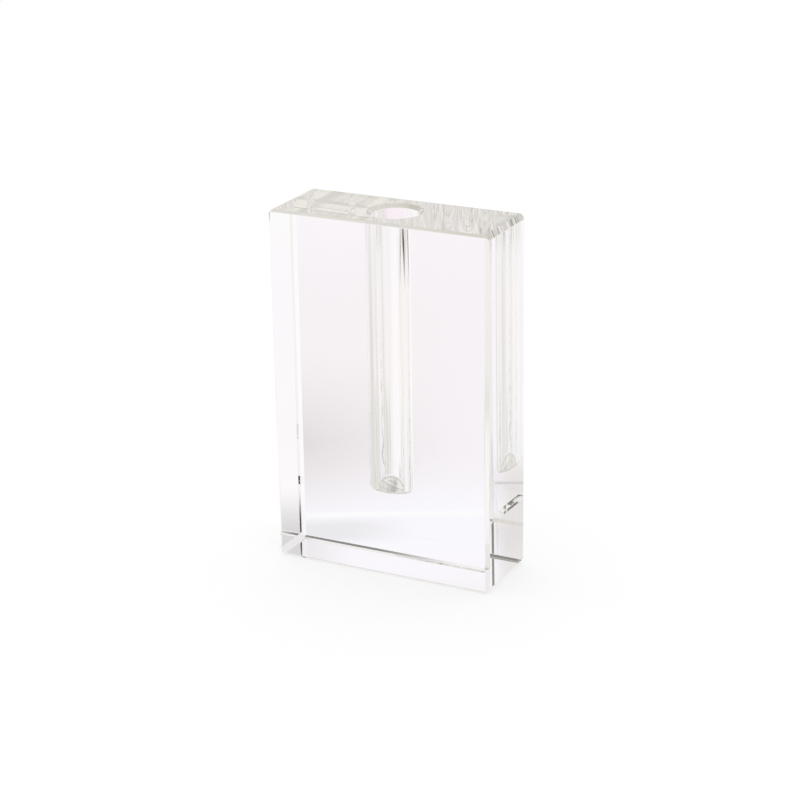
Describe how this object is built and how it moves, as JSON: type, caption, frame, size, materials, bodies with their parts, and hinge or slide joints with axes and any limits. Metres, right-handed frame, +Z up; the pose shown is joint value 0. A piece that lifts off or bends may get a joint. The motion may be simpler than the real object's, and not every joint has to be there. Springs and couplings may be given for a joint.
{
  "type": "square vase",
  "caption": "Upright rectangular block vase of solid clear crystal with bevelled edges and a blind round stem hole in the top.",
  "frame": {"origin": "centre of the base, on the surface that the vase stands on", "axes": "+Z up along the stem hole, X across the broad front, Y through the thickness with the front towards -Y"},
  "size_m": [0.0984, 0.0362, 0.1524],
  "materials": {
    "crystal": "clear polished optical crystal"
  },
  "bodies": {
    "root": {"crystal_block": "crystal"}
  },
  "joints": []
}
